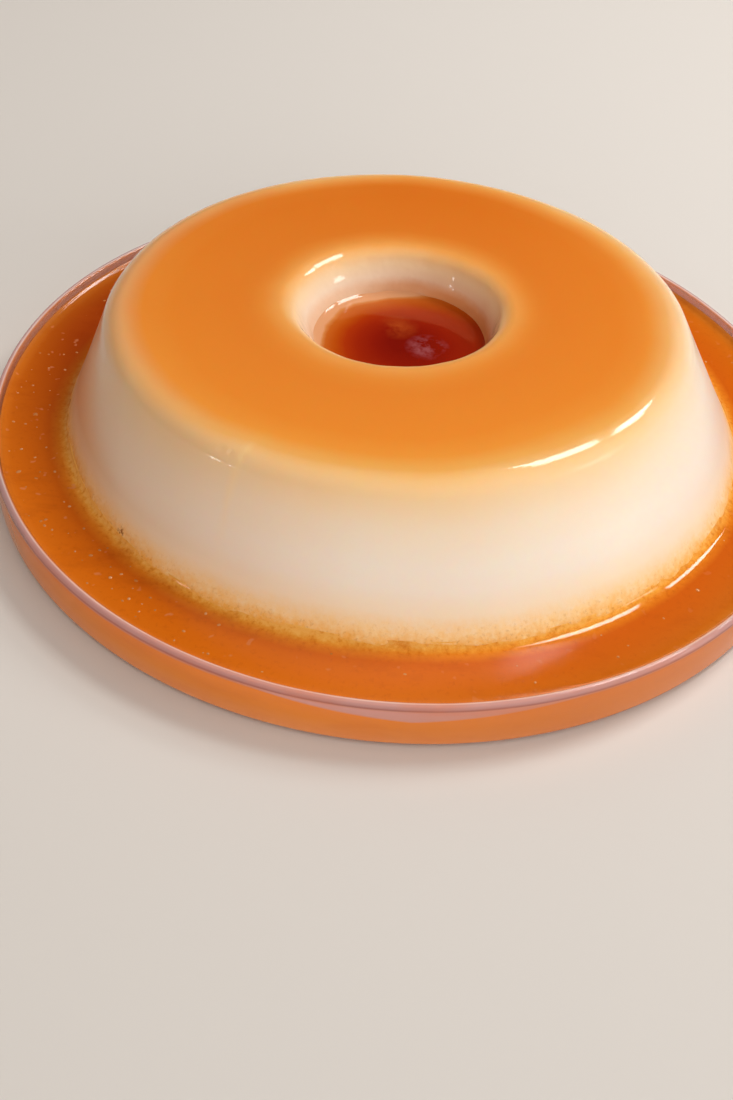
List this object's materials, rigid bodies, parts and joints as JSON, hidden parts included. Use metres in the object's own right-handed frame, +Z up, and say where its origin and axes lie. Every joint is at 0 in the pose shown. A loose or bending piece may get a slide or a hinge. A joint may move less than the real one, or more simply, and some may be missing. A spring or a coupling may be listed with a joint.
{
  "type": "creme caramel flan on a plate",
  "caption": "Ring-shaped caramel custard flan with a syrup-filled hole, standing in syrup on a low clear glass plate.",
  "frame": {"origin": "centre of the plate's flat underside", "axes": "+Z up along the plate's axis; -Y towards the viewer of the picture"},
  "size_m": [0.2682, 0.2682, 0.0555],
  "materials": {
    "glass": "clear pressed glass with a faint pink-violet tint, polished",
    "custard": "smooth wet baked custard, cream on the sides and soaked orange with caramel on top",
    "syrup_thin": "clear wet caramel syrup, orange where it is thin",
    "syrup_deep": "clear wet caramel syrup, dark red where it is deep"
  },
  "bodies": {
    "root": {"plate": "glass", "flan": "custard", "syrup_pool": "syrup_thin", "syrup_well": "syrup_deep"}
  },
  "joints": []
}
